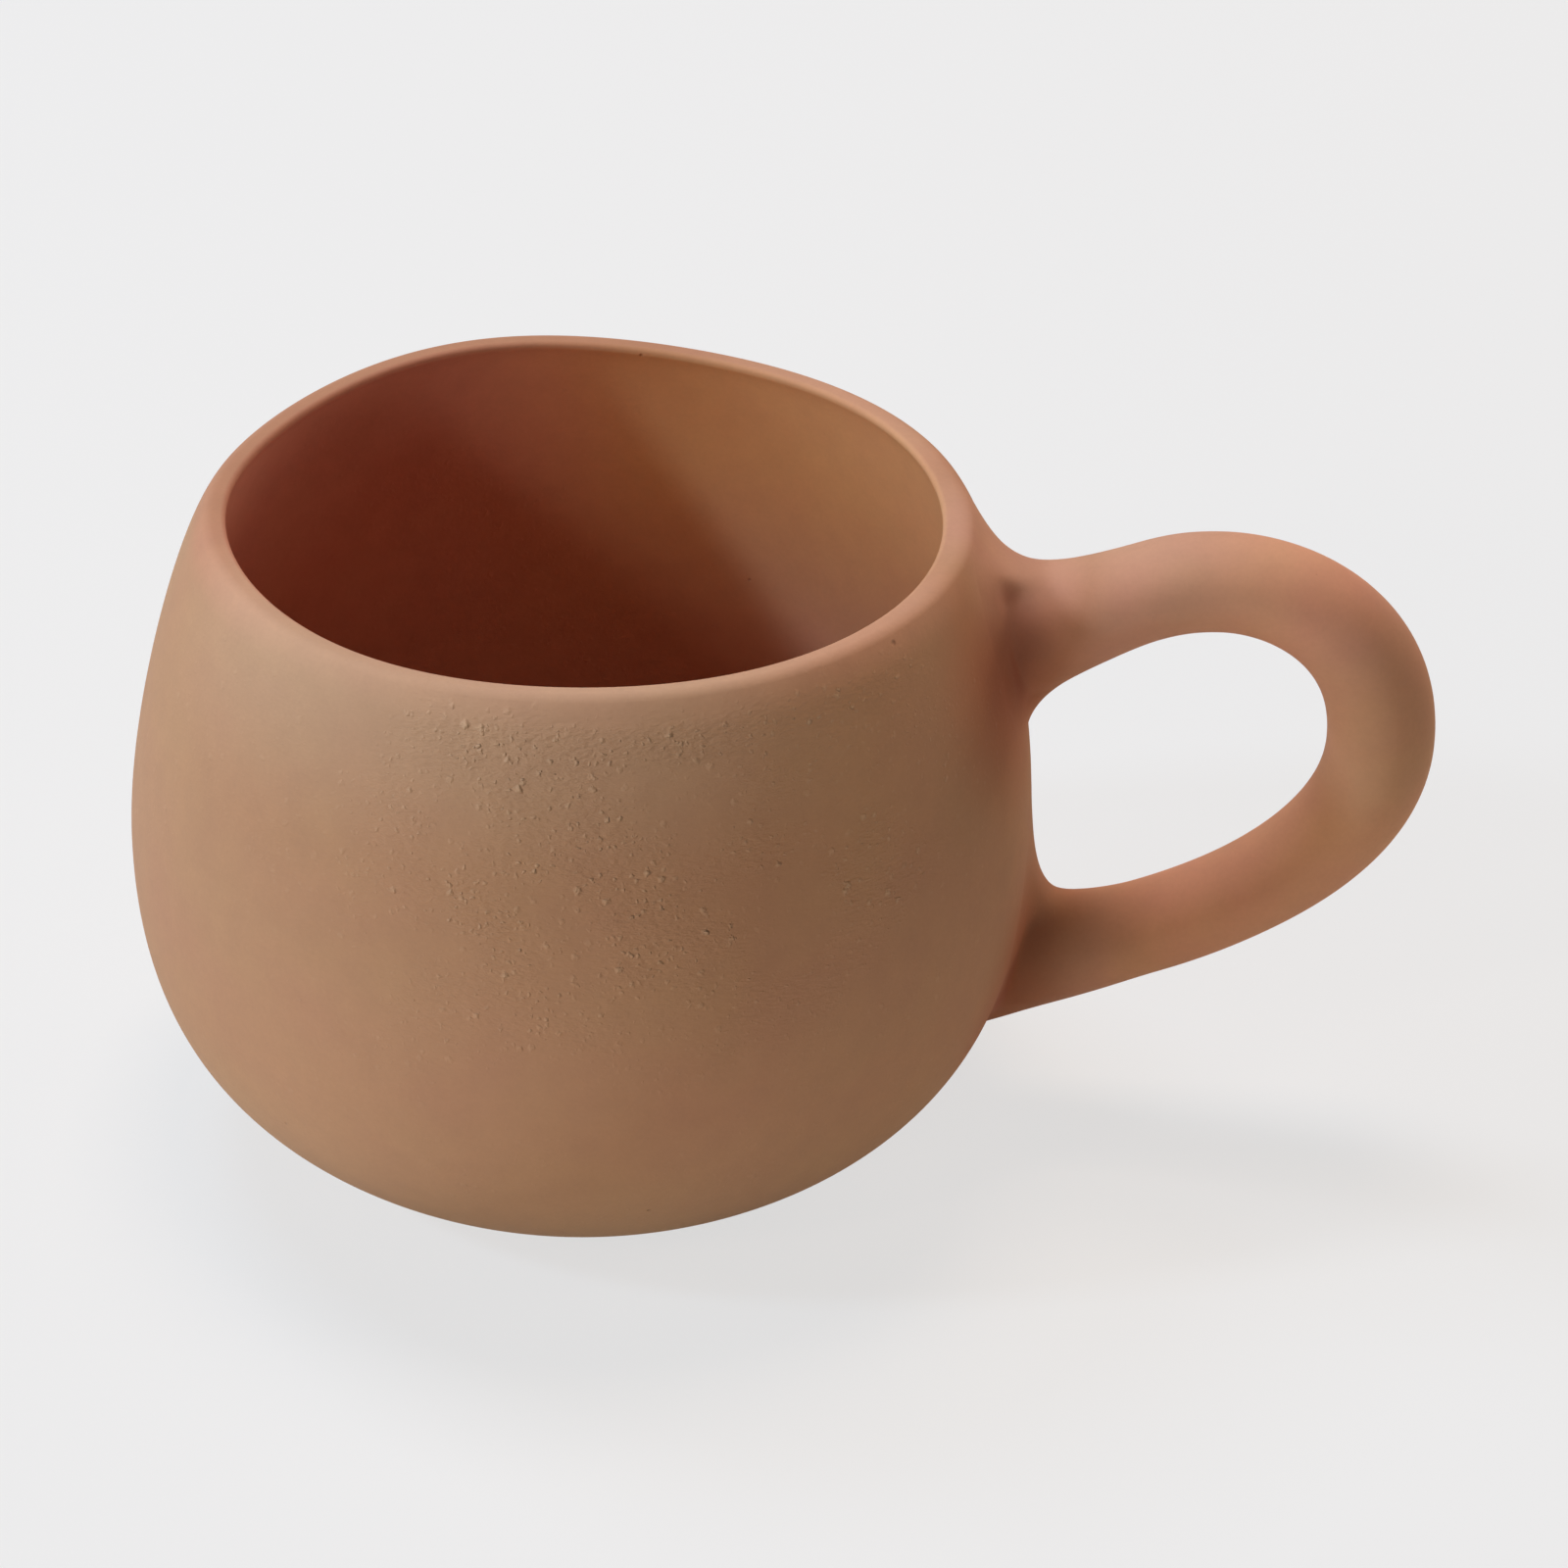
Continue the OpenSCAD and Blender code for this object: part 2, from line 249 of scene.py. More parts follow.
# The handle's middle line: root to crest, crest to bend, bend to root
UPPER_ROOT = np.array([wall_r(UPPER_ROOT_Z), UPPER_ROOT_Z])
LOWER_ROOT = np.array([wall_r(LOWER_ROOT_Z), LOWER_ROOT_Z])
_upper_along = np.array([math.cos(UPPER_ROOT_CLIMB), math.sin(UPPER_ROOT_CLIMB)])
_lower_along = np.array([math.cos(LOWER_ROOT_CLIMB), math.sin(LOWER_ROOT_CLIMB)])
_rise_run = CREST[0] - UPPER_ROOT[0]
_fall_run, _fall_h = BEND[0] - CREST[0], CREST[1] - BEND[1]
_return_run, _return_h = BEND[0] - LOWER_ROOT[0], BEND[1] - LOWER_ROOT[1]
LEVEL, UPRIGHT = np.array([1.0, 0.0]), np.array([0.0, 1.0])
HANDLE_CURVES = (
    np.array([
        UPPER_ROOT,
        UPPER_ROOT + UPPER_ROOT_PULL * _rise_run * _upper_along,
        CREST - CREST_PULL_IN * _rise_run * LEVEL,
        CREST,
    ]),
    np.array([
        CREST,
        CREST + CREST_PULL_OUT * _fall_run * LEVEL,
        BEND + BEND_PULL_UP * _fall_h * UPRIGHT,
        BEND,
    ]),
    np.array([
        BEND,
        BEND - BEND_PULL_DOWN * _return_h * UPRIGHT,
        LOWER_ROOT + LOWER_ROOT_PULL * _return_run * _lower_along,
        LOWER_ROOT,
    ]),
)
_line_u = np.linspace(0, 3, 3 * TABLE_STEPS + 1)


def line_at(u, of=curve):
    """The middle line, or its direction, at places 0 to 3 along the three curves."""
    n = np.minimum(np.floor(u), 2).astype(int)
    out = np.zeros(np.shape(u) + (2,))
    for k, c in enumerate(HANDLE_CURVES):
        out[n == k] = of(c, (u - n)[n == k])
    return out


_line_steps = np.linalg.norm(np.diff(line_at(_line_u), axis=0), axis=1)
_line_lengths = np.concatenate([[0], np.cumsum(_line_steps)])
LINE_L = float(_line_lengths[-1])


def arm_t(u):
    """Thickness of the handle in the plane of its loop, leaving out the roots."""
    upper = mix(UPPER_ARM_T, BEND_T, smooth(u - 1))
    lower = mix(BEND_T, LOWER_ARM_T, smooth((u - 2) / THINNING_SHARE))
    return np.where(u < 2, upper, lower)


def handle_surface(s, angle, girth=1.0):
    """Points on the handle at lengths s along its middle line and angles round it.

    Past either root it runs straight on."""
    s, angle = np.broadcast_arrays(np.asarray(s, float), angle)
    u = np.interp(s, _line_lengths, _line_u)
    past = s - np.clip(s, 0, LINE_L)
    d = line_at(u, curve_direction)
    c = line_at(u) + past[..., None] * d
    from_root = np.maximum(0, np.minimum(s, LINE_L - s))
    slimness = smooth(from_root / ROOT_RUN)
    half_t = girth * mix(ROOT_T, arm_t(u), slimness) / 2
    half_w = girth * mix(ROOT_W, HANDLE_W, slimness) / 2
    n = half_t * np.cos(angle)
    across, up = c[..., 0] - d[..., 1] * n, c[..., 1] + d[..., 0] * n
    return np.stack([across, half_w * np.sin(angle), up], -1)


def gap_to_wall(p):
    """How far outside the wall points are, level from the axis."""
    return np.hypot(p[..., 0], p[..., 1]) - wall_r(p[..., 2])


# The lengths from the root between which a line of the handle meets the wall, and how often the
# span is halved to find the place
PIERCE_DEEP = -7.0
PIERCE_CLEAR = 9.0
PIERCE_HALVINGS = 40


def pierce(angle, depth, upper, girth=1.0):
    """Length from the root at which each line of the handle is a depth inside the wall."""
    deep, clear = np.full(np.shape(angle), PIERCE_DEEP), np.full(np.shape(angle), PIERCE_CLEAR)
    for _ in range(PIERCE_HALVINGS):
        half = (deep + clear) / 2
        s = half if upper else LINE_L - half
        inside = gap_to_wall(handle_surface(s, angle, girth)) < -depth
        deep, clear = np.where(inside, half, deep), np.where(inside, clear, half)
    return deep


# The mug is finished by hand, so one smooth field moves every piece a little, by place alone.
# Each wave is a count round the mug, a size in millimetres, and the direction of a crest in degrees
LIP_HEIGHT_WAVES = ((2, 0.16, -66), (3, 0.10, -7), (4, 0.24, 21), (5, 0.15, -28))
LIP_REACH_WAVES = ((2, 0.07, 42), (3, 0.10, -25))
BELLY_WAVES = ((2, 0.15, -60), (3, 0.14, 56))
# The waves fade out along the handle, from this far outside the belly and over this length
WAVE_FADE_START = 2
WAVE_FADE = 14.0
# Nearer the axis than this a point is moved less, down to nothing on the axis
LEAST_R = 10

# Where the handle was pressed on, the wall was left a little fuller: by how much, half its width as
# an angle, the heights between which it grows, and the depth of wall that it is taken up in
PULL = 0.75
PULL_WIDTH = math.radians(56)
PULL_HEIGHTS = (30.0, 56.0)
PULL_DEPTH = 2.2


def waves(sizes, angle):
    """The sum of some waves round the mug."""
    return sum(size * np.cos(n * (angle - math.radians(at))) for n, size, at in sizes)


def pull(angle, z, r):
    """How far the wall is drawn out towards the handle."""
    by_angle = 1 - smooth(np.abs(angle) / PULL_WIDTH)
    by_height = smooth((z - PULL_HEIGHTS[0]) / (PULL_HEIGHTS[1] - PULL_HEIGHTS[0]))
    inner = wall_r(np.minimum(z, LIP_OUT[1])) - PULL_DEPTH
    return PULL * by_angle * by_height * smooth((r - inner) / PULL_DEPTH)


def handmade(p):
    """Moves points, in millimetres, as the hand that finished the mug did."""
    x, y, z = p[..., 0], p[..., 1], p[..., 2]
    r = np.hypot(x, y)
    angle = np.arctan2(y, x)
    hold = 1 - smooth((r - BELLY_R - WAVE_FADE_START) / WAVE_FADE)
    lip_share = smooth((z - BELLY_Z) / (BODY_H - BELLY_Z)) * hold
    belly_share = smooth(z / BELLY_Z) * hold - lip_share
    dr = waves(LIP_REACH_WAVES, angle) * lip_share + waves(BELLY_WAVES, angle) * belly_share
    dr = dr + pull(angle, z, r) * hold
    dz = waves(LIP_HEIGHT_WAVES, angle) * lip_share
    k = 1 + dr / np.maximum(r, LEAST_R)
    return np.stack([x * k, y * k, z + dz], -1)


def make_piece(name, points, faces, replaced, marks=None):
    """A closed, smoothly shaded mesh from points in millimetres, standing for a CAD node."""
    mesh = bpy.data.meshes.new(name)
    mesh.from_pydata((handmade(points) * MM).tolist(), [], faces)
    mesh.validate()
    mesh.polygons.foreach_set("use_smooth", [True] * len(mesh.polygons))
    mesh.set_sharp_from_angle(angle=SHARP_ANGLE)
    for mark, values in (marks or {}).items():
        layer = mesh.attributes.new(mark, "FLOAT", "POINT")
        layer.data.foreach_set("value", np.ravel(values).astype(np.float32))
    obj = bpy.data.objects.new(name, mesh)
    bpy.context.scene.collection.objects.link(obj)
    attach(obj, "root")
    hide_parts(replaced)
    return obj


def grid_faces(rows, sides, close_rows=False):
    """Four-cornered faces over rows of points, each row closed on itself, and the rows if asked."""
    faces = []
    for i in range(rows if close_rows else rows - 1):
        j = (i + 1) % rows
        for k in range(sides):
            m = (k + 1) % sides
            faces.append((i * sides + k, i * sides + m, j * sides + m, j * sides + k))
    return faces


# The row of the body's mesh at which the lip's inner corner starts
LIP_MIDDLE = FLAT_STEPS + FOOT_EDGE_STEPS + 2 * CURVE_STEPS + LIP_STEPS


def make_body():
    """The wall turned round the axis, marked with the share of it that is inside."""
    outline = profile()
    inner = outline[1:-1]
    angle = np.linspace(0, 2 * math.pi, TURN_STEPS, endpoint=False)
    rows = np.stack([
        inner[:, None, 0] * np.cos(angle),
        inner[:, None, 0] * np.sin(angle),
        np.repeat(inner[:, 1:], TURN_STEPS, 1),
    ], -1).reshape(-1, 3)
    points = np.concatenate([rows, [[0, 0, 0], [0, 0, FLOOR_T]]])
    faces = grid_faces(len(inner), TURN_STEPS)
    foot, floor = len(points) - 2, len(points) - 1
    last = (len(inner) - 1) * TURN_STEPS
    for k in range(TURN_STEPS):
        m = (k + 1) % TURN_STEPS
        faces.append((foot, m, k))
        faces.append((last + k, last + m, floor))
    bowl = np.repeat(np.clip((np.arange(len(inner)) - LIP_MIDDLE) / LIP_STEPS, 0, 1), TURN_STEPS)
    bowl = np.concatenate([bowl, [0, 1]])
    return make_piece("clay_body", points, faces, "body", {"bowl": bowl})


# How far the handle's ends lie inside the wall
HANDLE_DEPTH = 1.8


def make_handle():
    """The pulled bar, from one end inside the wall to the other."""
    angle = np.linspace(0, 2 * math.pi, HANDLE_SIDES, endpoint=False)
    start = pierce(angle, HANDLE_DEPTH, True)
    end = LINE_L - pierce(angle, HANDLE_DEPTH, False)
    share = np.linspace(0, 1, HANDLE_RINGS)[:, None]
    s = start + (end - start) * share
    rows = handle_surface(s, angle[None, :])
    points = np.concatenate([rows.reshape(-1, 3), [rows[0].mean(0)], [rows[-1].mean(0)]])
    faces = [f[::-1] for f in grid_faces(HANDLE_RINGS, HANDLE_SIDES)]
    first, second = len(points) - 2, len(points) - 1
    last = (HANDLE_RINGS - 1) * HANDLE_SIDES
    for k in range(HANDLE_SIDES):
        m = (k + 1) % HANDLE_SIDES
        faces.append((first, k, m))
        faces.append((second, last + m, last + k))
    return make_piece("clay_handle", points, faces, "handle")


# The collars: how far the skin stands off, the depth of the hidden side in the wall, its girth in
# the handle as a share, how far its tip stops short of the skin, and half a root's thickness
SKIN = 0.006
SKIN_DEPTH = 0.9
ROOT_GIRTH = 0.82
TIP_SHORT = 0.3
ROOT_HALF = 6


def make_collar(name, upper, spreads, node):
    """The clay worked round one root, as a closed shell.

    Its skin runs from the handle out over the wall, and its hidden side back inside both."""
    angle = np.linspace(0, 2 * math.pi, COLLAR_SLICES, endpoint=False)
    side = 1 if upper else -1

    def at(s, girth=1.0, turned=angle):
        return handle_surface(s if upper else LINE_L - s, turned, girth)

    root_s = pierce(angle, 0, upper)
    root = at(root_s)
    root_angle = np.arctan2(root[:, 1], root[:, 0])
    z = root[:, 2]
    up_or_down = np.where(np.cos(angle) > 0, spreads[0], spreads[2])
    spread = mix(spreads[1], up_or_down, np.cos(angle) ** 2)
    turn = spread * np.sin(angle) / wall_r(z)
    way = side * np.cos(angle)
    room = np.where(way > 0, LIP_OUT[1] - z, z - FOOT_START[1]) / COLLAR_EDGE_ROOM
    climb = np.sign(way) * np.minimum(spread * np.abs(way), room)
    wall_start = off_wall(root_angle, z, 0)
    t = np.linspace(0, 1, COLLAR_STEPS + 1)[:, None] ** COLLAR_SPACE_POWER
    down = 1 - (1 - t) ** COLLAR_LEAVE_POWER * (1 - np.exp((t - 1) / TOE_EASE))
    reach = t**COLLAR_THIN_POWER
    s = COLLAR_RUN + (root_s - COLLAR_RUN) * down
    on_handle = at(s, 1 + SKIN / ROOT_HALF, angle[None, :])
    on_wall = off_wall(root_angle + turn * reach, z + climb * reach, SKIN)
    skin = on_handle + on_wall - wall_start
    side_share = smooth((np.abs(np.sin(angle)) - FOLD_SIDE_START) / FOLD_SIDE_GROWTH)
    fold = np.exp(-(((t - FOLD_AT) / FOLD_WIDTH) ** 2)) * side_share
    skin = skin + (wall_start - skin) * FOLD_SHARE * fold[..., None]
    under_toe = off_wall(root_angle + turn, z + climb, -SKIN_DEPTH)
    under_root = at(pierce(angle, SKIN_DEPTH, upper, ROOT_GIRTH), ROOT_GIRTH)
    under_tip = at(np.full(COLLAR_SLICES, COLLAR_RUN - TIP_SHORT), ROOT_GIRTH)
    rows = np.concatenate([skin, under_toe[None], under_root[None], under_tip[None]])
    points = rows.reshape(-1, 3)
    faces = grid_faces(len(rows), COLLAR_SLICES, close_rows=True)
    if not upper:
        faces = [f[::-1] for f in faces]
    # Painted shade in the fold, given to the mesh as a mark
    shaded = np.exp(-(((t - SHADED_AT) / SHADED_WIDTH) ** 2)) * np.sin(angle) ** 2
    crease_shade = np.concatenate([shaded, np.zeros((len(rows) - len(t), COLLAR_SLICES))])
    return make_piece(name, points, faces, node, {"crease_shade": crease_shade})


body = make_body()
handle = make_handle()
upper_collar = make_collar("clay_upper_collar", True, UPPER_SPREADS, "upper_collar")
lower_collar = make_collar("clay_lower_collar", False, LOWER_SPREADS, "lower_collar")


# Materials. Colours are written as they look under plain light
def colour(r, g, b):
    """A colour written as it looks, as Blender's linear numbers."""
    parts = [c / 255 for c in (r, g, b)]
    return [c / 12.92 if c <= 0.04045 else ((c + 0.055) / 1.055) ** 2.4 for c in parts] + [1.0]


class Nodes:
    """Short calls for building a node tree."""

    def __init__(self, material):
        material.use_nodes = True
        self.tree = material.node_tree
        self.tree.nodes.clear()

    def add(self, kind, inputs=None, **settings):
        n = self.tree.nodes.new("ShaderNode" + kind)
        for key, value in settings.items():
            setattr(n, key, value)
        for key, value in (inputs or {}).items():
            self.put(n.inputs[key], value)
        return n

    def put(self, socket, value):
        if isinstance(value, bpy.types.NodeSocket):
            self.tree.links.new(value, socket)
        else:
            socket.default_value = value

    def show(self, shader):
        """Ends the tree with the shader that the surface gets."""
        self.put(self.add("OutputMaterial").inputs[0], shader)

    def math(self, operation, a, b=0.0, c=0.0, clamp=False):
        return self.add("Math", {0: a, 1: b, 2: c}, operation=operation, use_clamp=clamp).outputs[0]

    def times(self, a, b):
        return self.math("MULTIPLY", a, b)

    def more(self, a, share, start):
        """The start, and a share of a on top."""
        return self.math("MULTIPLY_ADD", a, share, start)

    def swing(self, a, share, start):
        """The start, moved either way by a share of how far a noise is from its middle."""
        return self.more(self.math("SUBTRACT", a, 0.5), share, start)

    def rest(self, a):
        return self.math("SUBTRACT", 1.0, a)

    def largest(self, a, *others):
        for other in others:
            a = self.math("MAXIMUM", a, other)
        return a

    def vector(self, operation, *values):
        return self.add("VectorMath", dict(enumerate(values)), operation=operation).outputs[0]

    def measure(self, operation, *values):
        """A length, a distance or a dot product."""
        return self.add("VectorMath", dict(enumerate(values)), operation=operation).outputs[1]

    def ramp(self, value, low, high, to_low=0.0, to_high=1.0):
        """A smooth step from low to high."""
        inputs = {0: value, 1: low, 2: high, 3: to_low, 4: to_high}
        return self.add("MapRange", inputs, interpolation_type="SMOOTHSTEP").outputs[0]

    def blend(self, factor, a, b):
        """Colour a, giving way to colour b as the factor goes from 0 to 1."""
        return self.add("Mix", {0: factor, 6: a, 7: b}, data_type="RGBA").outputs[2]

    def towards(self, at, way, from_axis):
        """Cosine of the angle, as seen from above, between a place and a way."""
        return self.math("DIVIDE", self.measure("DOT_PRODUCT", at, way), from_axis)

    def near(self, at, place, inner, outer, most=1.0):
        """The most within the inner distance of a place, 0 beyond the outer one."""
        return self.ramp(self.measure("DISTANCE", at, place), inner, outer, most, 0.0)

    def mark(self, name):
        """What a piece's mesh says of itself under a name."""
        return self.add("Attribute", attribute_name=name).outputs["Fac"]

    def noise(self, at, size, detail=2.0, roughness=0.5, output="Fac"):
        inputs = {"Vector": at, "Scale": 1.0 / size, "Detail": detail, "Roughness": roughness}
        return self.add("TexNoise", inputs).outputs[output]


# Unglazed fired clay. The pieces share one set of rules by place, so they match where they meet
WALL_CLAY = colour(187, 143, 109)
LOW_WALL_CLAY = colour(190, 150, 116)
HANDLE_CLAY = colour(205, 153, 126)
# Painted light: the lower arm and the tops of the arms are lighter, as light from above falls on
# them; the outer bend is darker with painted shade
LIT_LOW_ARM_CLAY = colour(214, 158, 122)
LIT_ARM_TOP_CLAY = colour(228, 163, 132)
SHADED_BEND_CLAY = colour(195, 146, 112)
# The lip's lighter colour is partly its smoothed clay and partly a painted highlight on its top
SMOOTH_LIP_AND_HIGHLIGHT_CLAY = colour(205, 154, 123)
LIP_SHADE_CLAY = colour(188, 136, 106)
DUST_CLAY = colour(196, 162, 133)
# Painted shade, darker and redder, on the wall round both joints
JOINT_SHADE_CLAY = colour(183, 120, 86)
# Painted shade in the collars' folds, the hollow by the upper joint and the dimple
CREASE_SHADE_CLAY = colour(163, 88, 57)
BOWL_CLAY = colour(217, 160, 108)
# Painted light and shade inside: a reddish glow on the side away from the handle, and shade low
# down
PAINTED_GLOW_CLAY = colour(220, 150, 132)
SHADED_DEEP_CLAY = colour(182, 130, 110)
GRAIN_CLAY = colour(222, 190, 156)
PIT_CLAY = colour(96, 58, 38)

# Marks round one place: the place in millimetres, the distance up to which the mark is full, the
# distance at which it ends, and how full it is if not wholly
SADDLE = ((43.0, 0.0, 67.0), 6, 17)
DIMPLE = ((44.3, -5.2, 65.9), 0.2, 2.6)
PINHOLE = ((32.2, -24.6, 71.2), 0.2, 0.55)
SCRATCH = ((33.0, -24.6, 69.8), 0.8, 2.6)
# These are given for the side towards +Y, and lie on the other side too
# Painted shade round the joints
UPPER_JOINT_SHADE = ((43.5, 8.5, 59.0), 6, 19)
LOWER_JOINT_SHADE = ((46.0, 8.0, 20.0), 5, 18)
# Painted shade in the hollow by the upper joint
HOLLOW_SHADE = ((43.4, 8.8, 60.0), 1.5, 9.5, 0.6)
# Painted light on the tops of the arms
UPPER_ARM_LIT_TOP = ((75.5, 3.0, 69.0), 2, 15)
LOWER_ARM_LIT_TOP = ((61.5, 2.0, 29.0), 1, 8)
# Painted shade round the outer bend
OUTER_BEND_SHADE = ((84.0, 4.5, 51.0), 3, 16)

# Steps from one look to the next, each from a value to another, and from 1 to 0 if it says so.
# Heights, distances from the axis, and distances across are in millimetres
ARM_FROM_AXIS = (BELLY_R - 3, BELLY_R + 9)
LOW_ARM_FROM_AXIS = (52, 62)
LOW_ARM_HEIGHT = (38, 50, 1.0, 0.0)
LOW_WALL_HEIGHT = (4, 30)
LIP_HEIGHT = (BODY_H - 4, BODY_H - 0.5)
LIP_SHADE_ACROSS = (5, 38)
DUST_HEIGHT = (52, 70)
# Painted shade low inside, and a painted reddish glow on the side away from the handle
DEEP_SHADE_HEIGHT = (18, 62)
PAINTED_GLOW_ACROSS = (-22, 12, 1.0, 0.0)
GRITTY_HEIGHT = (26, 54)
EDGE_START_HEIGHT = (64.5, 67.5)
EDGE_END_HEIGHT = (69.5, 70.8, 1.0, 0.0)

# Ways from the axis, and the cosines of the turn from them between which a look fades in
GRITTY_WAY = (math.cos(math.radians(-73)), math.sin(math.radians(-73)), 0)
GRITTY_TURN = (0.6, 0.95)
DUSTY_WAY = (math.cos(math.radians(-105)), math.sin(math.radians(-105)), 0)
DUSTY_TURN = (0.45, 0.95)

# How much of each tone shows where it is fullest
# The share of the painted light on the tops of the arms
LIT_TOP_SHARE = 0.8
DUST_SHARE = 0.6
FOLD_SHADE = 0.7
DIMPLE_SHADE = 0.45
GRAIN_SHADE = 0.5
SMALL_GRAIN_SHARE = 0.6
PIT_SHADE = 0.75

# Mottling: the size of each noise in millimetres, its detail, and its roughness if not plain
BROAD_NOISE = (24, 3)
MIDDLE_NOISE = (3.2, 3)
FINE_NOISE = (0.5, 3, 0.6)
HUE_NOISE = (13, 2)
BROAD_SWING = 0.10
MIDDLE_SWING = 0.12
FINE_SWING = 0.10
HUE_SWING = 0.012
HUE_SWING_MORE_ON_HANDLE = 0.02

# Grit: its share away from the front, how much more there is at the front, its patches, and how
# much of it a wet hand took away
GRIT_LEAST = 0.12
GRIT_BY_FRONT = 0.88
GRIT_NOISE = (11, 2)
GRIT_PATCHES = (0.36, 0.62, 0.15, 1.0)
SMOOTHED_SHARE = 0.9
SMOOTHED_IN_BOWL = 0.5

# Scattered spots: the cell each lies in and its radius in millimetres, and the share of cells kept
GRAINS = (1.4, 0.44, 0.34)
SMALL_GRAINS = (0.75, 0.27, 0.6)
PITS = (4.2, 0.26, 0.1)
PITS_SHARE = 0.4
# A spot's radius varies from a least share of the given one, and its top is level up to a share
SPOT_LEAST = 0.7
SPOT_MORE = 0.6
SPOT_TOP = 0.15
# A noise moves the spots' outlines about, by up to so many millimetres
STIR_NOISE = (1 / 1.7, 2)
STIR = (0.7, 0.7, 0.7)

# Relief in millimetres. GRITTY marks what comes on top where the clay is gritty, as grains do
GRAIN_HEIGHT = 0.26
SMALL_GRAIN_HEIGHT = 0.13
DIMPLE_DEPTH = 0.25
PIT_DEPTH = 0.3
SAND_NOISE = (0.36, 2, 0.6)
SAND_STRETCH = (0.45, 0.45, 1.0)
SAND_GRITTY = 0.21
FINE_HEIGHT = 0.008
FINE_GRITTY = 0.016
LUMP_NOISE = (1.6, 2)
LUMP_HEIGHT = 0.01
LUMP_GRITTY = 0.05
STROKE_NOISE = (1.0, 3, 0.6)
STROKE_STRETCH = (0.12, 0.12, 1.1)
STROKE_HEIGHT = 0.02

ROUGHNESS = 0.82
ROUGHNESS_MORE = 0.12
SPECULAR_LEVEL = 0.3


def places(n):
    """Where a point is on the mug, as shares from 0 to 1 and lengths in millimetres."""
    p = SimpleNamespace()
    p.at = n.vector("MULTIPLY", n.add("TexCoord").outputs["Object"], (1 / MM, 1 / MM, 1 / MM))
    p.x, p.y, p.height = n.add("SeparateXYZ", {0: p.at}).outputs
    p.from_axis = n.measure("LENGTH", n.vector("MULTIPLY", p.at, (1, 1, 0)))
    p.folded = n.add("CombineXYZ", {0: p.x, 1: n.math("ABSOLUTE", p.y), 2: p.height}).outputs[0]
    p.bowl = n.mark("bowl")
    p.outside = n.rest(p.bowl)
    arm = n.ramp(p.from_axis, *ARM_FROM_AXIS)
    p.on_handle = n.largest(arm, n.times(n.near(p.at, *SADDLE), p.outside))
    p.near_lip = n.times(n.ramp(p.height, *LIP_HEIGHT), n.rest(p.on_handle))
    p.dimple = n.near(p.at, *DIMPLE)
    return p


def handle_tone(n, p):
    """The handle's colour, with painted light: lighter on the lower arm and on the tops of both
    arms, and painted shade round the outer bend.
    """
    # Painted light on the lower arm and the arms' tops, and painted shade round the outer bend
    low = n.times(n.ramp(p.from_axis, *LOW_ARM_FROM_AXIS), n.ramp(p.height, *LOW_ARM_HEIGHT))
    tone = n.blend(low, HANDLE_CLAY, LIT_LOW_ARM_CLAY)
    lit_top = n.largest(n.near(p.folded, *UPPER_ARM_LIT_TOP), n.near(p.folded, *LOWER_ARM_LIT_TOP))
    tone = n.blend(n.times(lit_top, LIT_TOP_SHARE), tone, LIT_ARM_TOP_CLAY)
    return n.blend(n.near(p.folded, *OUTER_BEND_SHADE), tone, SHADED_BEND_CLAY)


def wall_tone(n, p):
    """The wall's colour outside, with the handle's where it is joined on, the lip's on top with a
    painted highlight, and painted shade, darker and redder, round the joints.
    """
    wall = n.blend(n.ramp(p.height, *LOW_WALL_HEIGHT), LOW_WALL_CLAY, WALL_CLAY)
    tone = n.blend(p.on_handle, wall, handle_tone(n, p))
    lip_shade = n.ramp(n.math("SUBTRACT", p.y, p.x), *LIP_SHADE_ACROSS)
    # The lip: partly smoothed clay, partly a painted highlight on its top
    tone = n.blend(p.near_lip, tone, n.blend(lip_shade, SMOOTH_LIP_AND_HIGHLIGHT_CLAY, LIP_SHADE_CLAY))
    dust = n.ramp(n.towards(p.at, DUSTY_WAY, p.from_axis), *DUSTY_TURN)
    dust = n.times(dust, n.times(n.ramp(p.height, *DUST_HEIGHT), p.outside))
    tone = n.blend(n.times(dust, DUST_SHARE), tone, DUST_CLAY)
    # Painted shade: darker and redder clay round both joints, where shade and reddish bounce light
    # fall
    joint_shade = n.largest(n.near(p.folded, *UPPER_JOINT_SHADE), n.near(p.folded, *LOWER_JOINT_SHADE))
    return n.blend(n.times(joint_shade, n.rest(p.on_handle)), tone, JOINT_SHADE_CLAY)


def bowl_tone(n, p):
    """The colour inside, with painted shade low down and a painted reddish glow of light on the
    side away from the handle.
    """
    high = n.blend(n.ramp(p.x, *PAINTED_GLOW_ACROSS), BOWL_CLAY, PAINTED_GLOW_CLAY)
    return n.blend(n.ramp(p.height, *DEEP_SHADE_HEIGHT), SHADED_DEEP_CLAY, high)


def fold_shade(n, p):
    """How far the clay is darkened with painted shade: in the folds of the collars, in the hollow
    by the upper joint and in the dimple.
    """
    shade = n.largest(n.times(n.mark("crease_shade"), FOLD_SHADE), n.near(p.folded, *HOLLOW_SHADE))
    return n.times(n.largest(shade, n.times(p.dimple, DIMPLE_SHADE)), p.outside)


def mottle(n, p, tone, middle, fine):
    """The colour with the uneven brightness and hue of fired clay."""
    value = n.swing(n.noise(p.at, *BROAD_NOISE), BROAD_SWING, 1.0)
    value = n.swing(fine, FINE_SWING, n.swing(middle, MIDDLE_SWING, value))
    hue_swing = n.more(p.on_handle, HUE_SWING_MORE_ON_HANDLE, HUE_SWING)
    hue = n.swing(n.noise(p.at, *HUE_NOISE), hue_swing, 0.5)
    inputs = {"Hue": hue, "Saturation": 1.0, "Value": value, "Fac": 1.0, "Color": tone}
    return n.add("HueSaturation", inputs).outputs[0]


